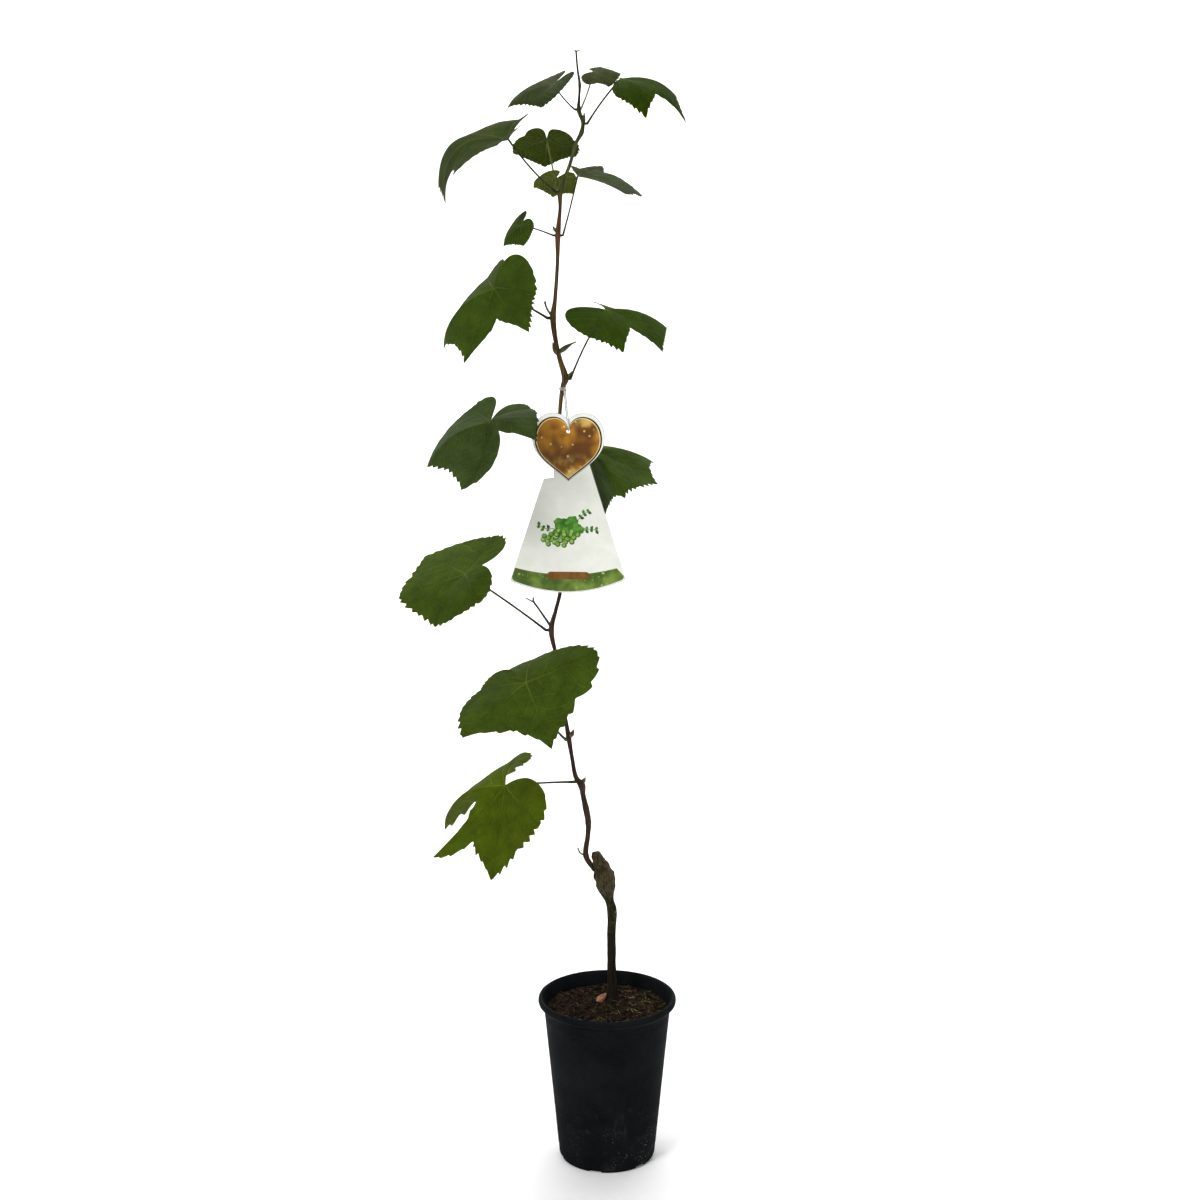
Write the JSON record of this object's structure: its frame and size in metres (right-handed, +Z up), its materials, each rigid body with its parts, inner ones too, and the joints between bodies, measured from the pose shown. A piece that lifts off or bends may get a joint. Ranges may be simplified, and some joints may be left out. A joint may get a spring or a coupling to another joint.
{
  "type": "potted grapevine",
  "caption": "Young grafted grapevine in a tapered black nursery pot, an upright shoot with toothed, lobed leaves, a tendril and a heart-shaped hang tag on a string.",
  "frame": {"origin": "centre of the flat underside of the pot", "axes": "+Z up along the pot's axis, -Y towards the front, where the tag's printed face looks, +X to the right seen from the front"},
  "size_m": [0.322, 0.2172, 1.3],
  "materials": {
    "pot_plastic": "thin black plastic with a soft sheen, scuffed and dusty near the foot",
    "bark_compost": "dark shredded bark with reddish and tan fibres",
    "old_bark": "rough grey-brown bark, dark and smooth near the soil",
    "young_bark": "smooth green-brown young bark, paler green at the top",
    "leaf": "mid green upper side with pale veins, paler olive under side",
    "tag_card": "printed plastic card, amber heart over a pale skirt with a green band",
    "string": "twisted white string"
  },
  "bodies": {
    "root": {"pot": "pot_plastic", "root_ball": "bark_compost", "trunk": "old_bark", "shoot": "young_bark", "tendril": "young_bark", "leaf_01": "leaf", "leaf_02": "leaf", "leaf_03": "leaf", "leaf_04": "leaf", "leaf_05": "leaf", "leaf_06": "leaf", "leaf_07": "leaf", "leaf_08": "leaf", "leaf_09": "leaf", "leaf_10": "leaf", "leaf_11": "leaf", "leaf_12": "leaf", "leaf_13": "leaf", "leaf_14": "leaf", "leaf_15": "leaf", "tag": "tag_card", "tag_string": "string"}
  },
  "joints": []
}
